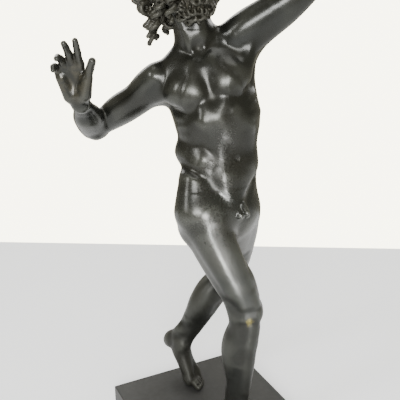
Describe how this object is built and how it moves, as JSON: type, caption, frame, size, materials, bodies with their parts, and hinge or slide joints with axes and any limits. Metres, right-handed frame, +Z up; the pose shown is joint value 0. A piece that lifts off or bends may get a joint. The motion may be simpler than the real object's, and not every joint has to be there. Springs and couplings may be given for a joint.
{
  "type": "faun statue",
  "caption": "Bronze statuette of a bearded dancing faun striding across a low rectangular plinth, one arm raised and the other bent.",
  "frame": {"origin": "centre of the plinth's underside, on the surface the statue stands on", "axes": "+Z up; the faun strides towards -Y; its right hand is on the -X side"},
  "size_m": [0.1747, 0.1423, 0.4159],
  "materials": {
    "bronze_patina": "dark grey-green brown bronze patina, satin, with rubbed lighter highs",
    "plinth_bronze": "matte dark grey patina with crisp, slightly worn edges"
  },
  "bodies": {
    "root": {"faun_figure": "bronze_patina", "plinth": "plinth_bronze"}
  },
  "joints": []
}
